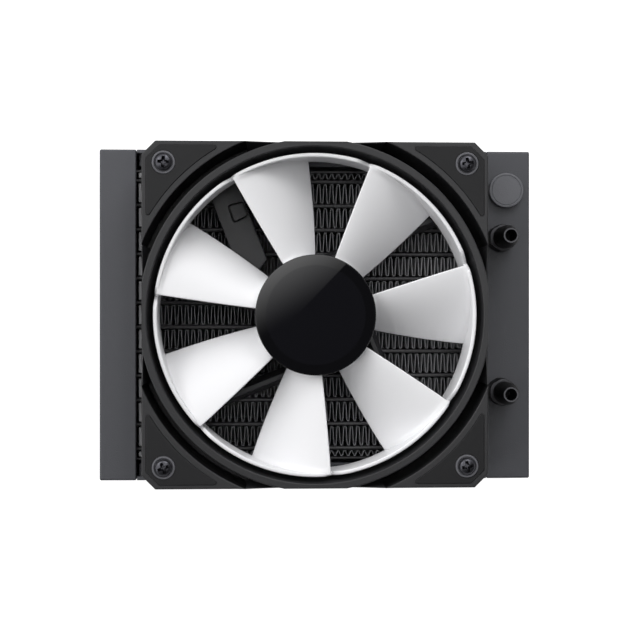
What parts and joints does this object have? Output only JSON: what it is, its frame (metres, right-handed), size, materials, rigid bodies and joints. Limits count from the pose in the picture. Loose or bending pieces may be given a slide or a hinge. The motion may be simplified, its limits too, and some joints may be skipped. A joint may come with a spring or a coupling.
{
  "type": "liquid cooler radiator with fan",
  "caption": "Rectangular tube-and-fin radiator with end tanks and two hose barbs, carrying a square axial fan with a ringed white impeller.",
  "frame": {"origin": "middle of the bounding box on the radiator's back face, which lies on the surface", "axes": "+X along the radiator towards the tank with the hose fittings, +Y across it towards the filler cap, +Z out of the fan's face"},
  "size_m": [0.157, 0.12, 0.0542],
  "materials": {
    "painted_body": "fine matt powder coat, charcoal",
    "core": "thin black paint over brazed aluminium",
    "fitting": "satin black hose fitting",
    "frame": "moulded glass-filled plastic, fine satin",
    "impeller": "satin white moulded plastic",
    "hub_cap": "polished black plastic",
    "pad": "matt moulded rubber",
    "fastener": "dark zinc plate",
    "steel": "machined steel",
    "magnet": "bonded ferrite",
    "sleeve": "sintered bronze",
    "winding": "enamelled copper wire",
    "board": "green solder mask"
  },
  "bodies": {
    "radiator_and_frame": {"left_tank": "painted_body", "right_tank": "painted_body", "side_channel_top": "painted_body", "side_channel_bottom": "painted_body", "fill_cap": "painted_body", "tank_divider": "core", "left_header_plate": "core", "right_header_plate": "core", "core_side_plate_top": "core", "core_side_plate_bottom": "core", "inlet_fitting": "fitting", "outlet_fitting": "fitting", "flat_tube_01": "core", "flat_tube_02": "core", "flat_tube_03": "core", "flat_tube_04": "core", "flat_tube_05": "core", "flat_tube_06": "core", "flat_tube_07": "core", "flat_tube_08": "core", "flat_tube_09": "core", "flat_tube_10": "core", "flat_tube_11": "core", "flat_tube_12": "core", "fin_strip_01": "core", "fin_strip_02": "core", "fin_strip_03": "core", "fin_strip_04": "core", "fin_strip_05": "core", "fin_strip_06": "core", "fin_strip_07": "core", "fin_strip_08": "core", "fin_strip_09": "core", "fin_strip_10": "core", "fin_strip_11": "core", "fin_strip_12": "core", "fin_strip_13": "core", "fan_frame": "frame", "corner_pad_top_right": "pad", "corner_pad_top_left": "pad", "corner_pad_bottom_left": "pad", "corner_pad_bottom_right": "pad", "washer_top_right": "fastener", "washer_top_left": "fastener", "washer_bottom_left": "fastener", "washer_bottom_right": "fastener", "screw_top_right": "fastener", "screw_top_left": "fastener", "screw_bottom_left": "fastener", "screw_bottom_right": "fastener", "stator_core": "steel", "stator_winding": "winding", "circuit_board": "board", "bearing_sleeve": "sleeve"},
    "rotor": {"impeller": "impeller", "hub_cap": "hub_cap", "rotor_yoke": "steel", "magnet_ring": "magnet", "shaft": "steel", "retaining_clip": "steel"}
  },
  "joints": [
    {"name": "fan_spin", "type": "hinge", "parent": "radiator_and_frame", "child": "rotor", "pos_m": [-0.0013, 0, 0.04], "axis": [0, 0, 1], "continuous": true}
  ]
}
